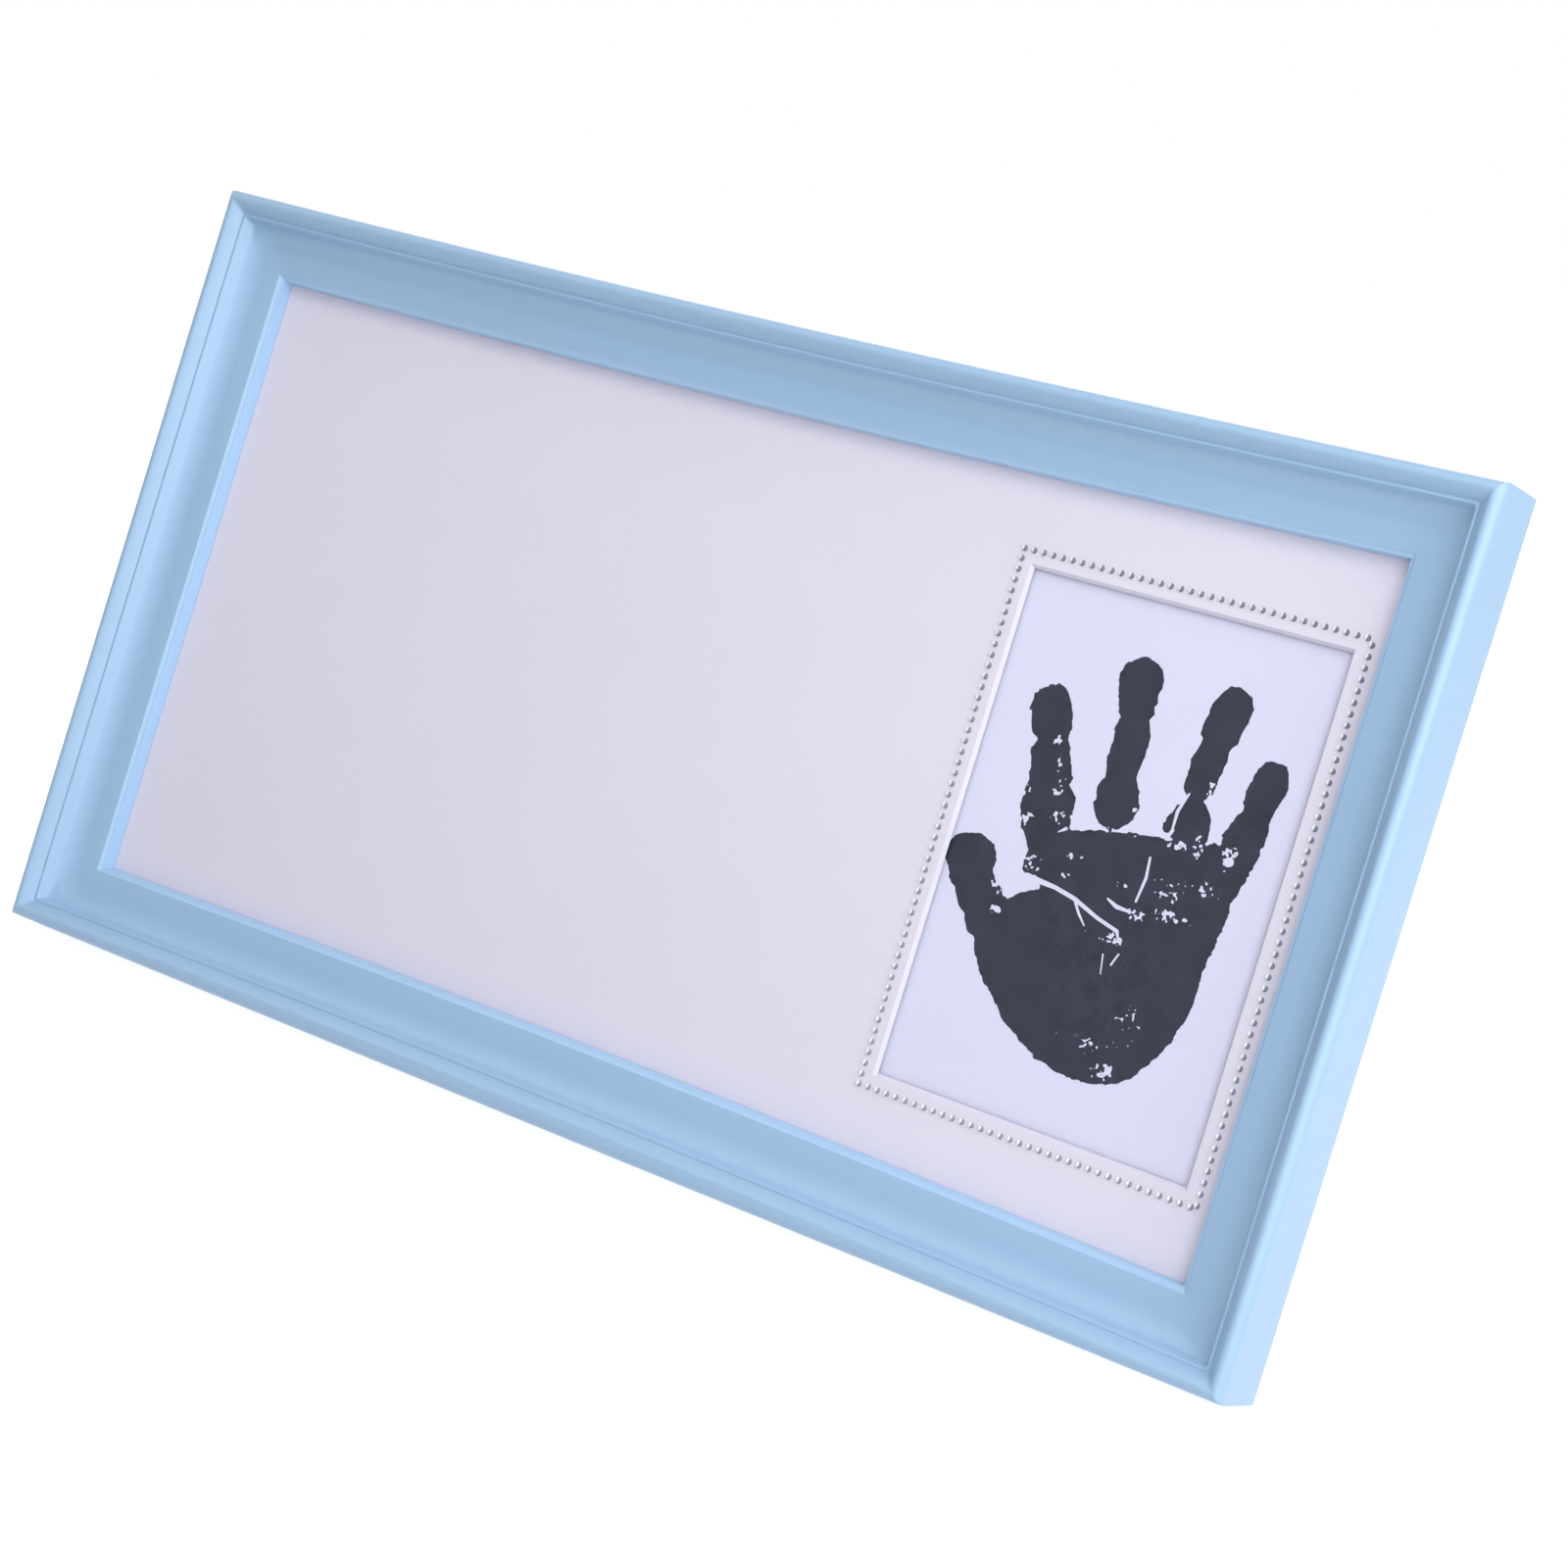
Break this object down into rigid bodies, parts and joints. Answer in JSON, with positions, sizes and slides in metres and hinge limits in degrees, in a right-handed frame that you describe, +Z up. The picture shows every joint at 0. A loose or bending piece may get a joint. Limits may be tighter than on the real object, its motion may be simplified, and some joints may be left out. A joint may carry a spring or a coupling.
{
  "type": "photo frame",
  "caption": "Landscape photo frame of mitred cove moulding with a beaded off-centre window in its mat, turn buttons on the back, a hinged easel strut and sawtooth hangers.",
  "frame": {"origin": "middle of the footprint, on the table: the centre of the bounding box in X and Y, at its lowest Z", "axes": "+X to the right along the frame's long side as seen from the front, +Y from the front to the back, +Z up. The frame leans back 14 degrees on its open strut"},
  "size_m": [0.44, 0.095, 0.2375],
  "materials": {
    "moulding": "satin sky-blue paint on a moulded rail",
    "mat": "matt lilac-white board",
    "glazing": "clear polished sheet",
    "print": "smooth card",
    "pearl": "silvery half-round pearls on a clear film",
    "filler": "plain grey card",
    "board": "smooth brown hardboard",
    "zinc": "zinc plated",
    "yellow_zinc": "yellow zinc plated"
  },
  "bodies": {
    "frame": {"top_rail": "moulding", "bottom_rail": "moulding", "left_rail": "moulding", "right_rail": "moulding", "bead_strip_top": "pearl", "bead_strip_right": "pearl", "bead_strip_bottom": "pearl", "bead_strip_left": "pearl", "mat_board": "mat", "glazing_sheet": "glazing", "print_card": "print", "filler_card": "filler", "back_board": "board", "corner_nail_bottom_left_1": "zinc", "corner_nail_bottom_left_2": "zinc", "corner_nail_bottom_right_1": "zinc", "corner_nail_bottom_right_2": "zinc", "corner_nail_top_left_1": "zinc", "corner_nail_top_left_2": "zinc", "corner_nail_top_right_1": "zinc", "corner_nail_top_right_2": "zinc", "button_screw_top_left": "zinc", "button_screw_top_right": "zinc", "button_screw_bottom_left": "zinc", "button_screw_bottom_right": "zinc", "button_screw_left_upper": "zinc", "button_screw_left_lower": "zinc", "button_screw_right_upper": "zinc", "button_screw_right_lower": "zinc", "sawtooth_hanger_left": "zinc", "sawtooth_hanger_right": "zinc", "hanger_nail_left_1": "zinc", "hanger_nail_left_2": "zinc", "hanger_nail_right_1": "zinc", "hanger_nail_right_2": "zinc", "board_rivet_left": "zinc", "board_rivet_right": "zinc", "hinge_leaf_board": "zinc", "hinge_pin": "zinc"},
    "easel": {"easel_strut": "board", "hinge_leaf_strut": "zinc", "strut_rivet_left": "zinc", "strut_rivet_right": "zinc"},
    "turn_button_top_left": {"turn_button_top_left": "yellow_zinc"},
    "turn_button_top_right": {"turn_button_top_right": "yellow_zinc"},
    "turn_button_bottom_left": {"turn_button_bottom_left": "yellow_zinc"},
    "turn_button_bottom_right": {"turn_button_bottom_right": "yellow_zinc"},
    "turn_button_left_upper": {"turn_button_left_upper": "yellow_zinc"},
    "turn_button_left_lower": {"turn_button_left_lower": "yellow_zinc"},
    "turn_button_right_upper": {"turn_button_right_upper": "yellow_zinc"},
    "turn_button_right_lower": {"turn_button_right_lower": "yellow_zinc"}
  },
  "joints": [
    {"name": "easel_hinge", "type": "hinge", "parent": "frame", "child": "easel", "pos_m": [0, 0.01533, 0.15954], "axis": [1, 0, 0], "range_deg": [-25, 0]},
    {"name": "button_turn_top_left", "type": "hinge", "parent": "frame", "child": "turn_button_top_left", "pos_m": [-0.08, 0.02986, 0.22445], "axis": [0, -0.9703, 0.2419], "range_deg": [-90, 90]},
    {"name": "button_turn_top_right", "type": "hinge", "parent": "frame", "child": "turn_button_top_right", "pos_m": [0.08, 0.02986, 0.22445], "axis": [0, -0.9703, 0.2419], "range_deg": [-90, 90]},
    {"name": "button_turn_bottom_left", "type": "hinge", "parent": "frame", "child": "turn_button_bottom_left", "pos_m": [-0.08, -0.02409, 0.00808], "axis": [0, -0.9703, 0.2419], "range_deg": [-90, 90]},
    {"name": "button_turn_bottom_right", "type": "hinge", "parent": "frame", "child": "turn_button_bottom_right", "pos_m": [0.08, -0.02409, 0.00808], "axis": [0, -0.9703, 0.2419], "range_deg": [-90, 90]},
    {"name": "button_turn_left_upper", "type": "hinge", "parent": "frame", "child": "turn_button_left_upper", "pos_m": [-0.2115, 0.01498, 0.16478], "axis": [0, -0.9703, 0.2419], "range_deg": [-90, 90]},
    {"name": "button_turn_left_lower", "type": "hinge", "parent": "frame", "child": "turn_button_left_lower", "pos_m": [-0.2115, -0.00921, 0.06775], "axis": [0, -0.9703, 0.2419], "range_deg": [-90, 90]},
    {"name": "button_turn_right_upper", "type": "hinge", "parent": "frame", "child": "turn_button_right_upper", "pos_m": [0.2115, 0.01498, 0.16478], "axis": [0, -0.9703, 0.2419], "range_deg": [-90, 90]},
    {"name": "button_turn_right_lower", "type": "hinge", "parent": "frame", "child": "turn_button_right_lower", "pos_m": [0.2115, -0.00921, 0.06775], "axis": [0, -0.9703, 0.2419], "range_deg": [-90, 90]}
  ]
}
